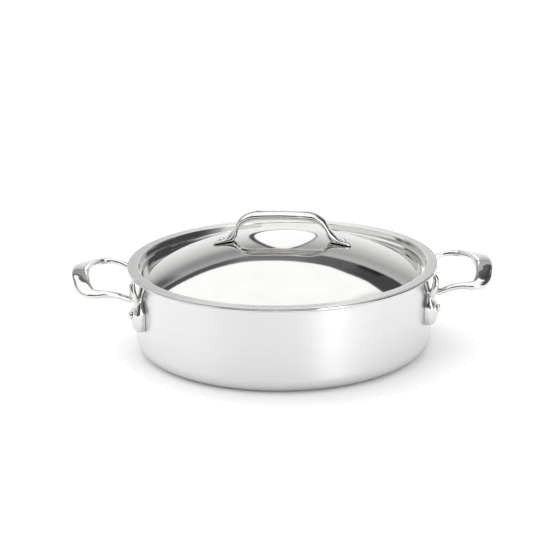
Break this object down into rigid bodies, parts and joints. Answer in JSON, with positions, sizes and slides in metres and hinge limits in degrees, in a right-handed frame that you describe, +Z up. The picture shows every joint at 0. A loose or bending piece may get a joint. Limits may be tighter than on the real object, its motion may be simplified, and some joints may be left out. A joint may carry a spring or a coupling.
{
  "type": "saute pan",
  "caption": "Wide, shallow stainless saute pan with straight walls, riveted cast loop handles and a loose recessed dome lid with an arched grip, for browning and simmering food.",
  "frame": {"origin": "centre of the base, on the surface the pan stands on", "axes": "+X through the two side handles, +Y away from the viewer in the picture, +Z up through the lid's handle"},
  "size_m": [0.4078, 0.3, 0.1347],
  "materials": {
    "satin_steel": "fine satin brushed stainless steel",
    "core_aluminium": "bare rolled aluminium, seen only as a line at the lip's edge",
    "polished_steel": "mirror polished cast stainless steel",
    "lid_steel": "mirror polished stainless steel sheet"
  },
  "bodies": {
    "pan": {"pan_outer_ply": "satin_steel", "pan_core_ply": "core_aluminium", "pan_inner_ply": "satin_steel", "side_handle_right": "polished_steel", "side_handle_left": "polished_steel", "handle_rivet_right_front": "polished_steel", "handle_rivet_right_rear": "polished_steel", "handle_rivet_left_front": "polished_steel", "handle_rivet_left_rear": "polished_steel"},
    "lid": {"lid_shell": "lid_steel", "lid_handle": "polished_steel", "lid_rivet_right": "polished_steel", "lid_rivet_left": "polished_steel"}
  },
  "joints": [
    {"name": "lid_lift", "type": "slide", "parent": "pan", "child": "lid", "axis": [0, 0, 1], "range_m": [0, 0.15]}
  ]
}
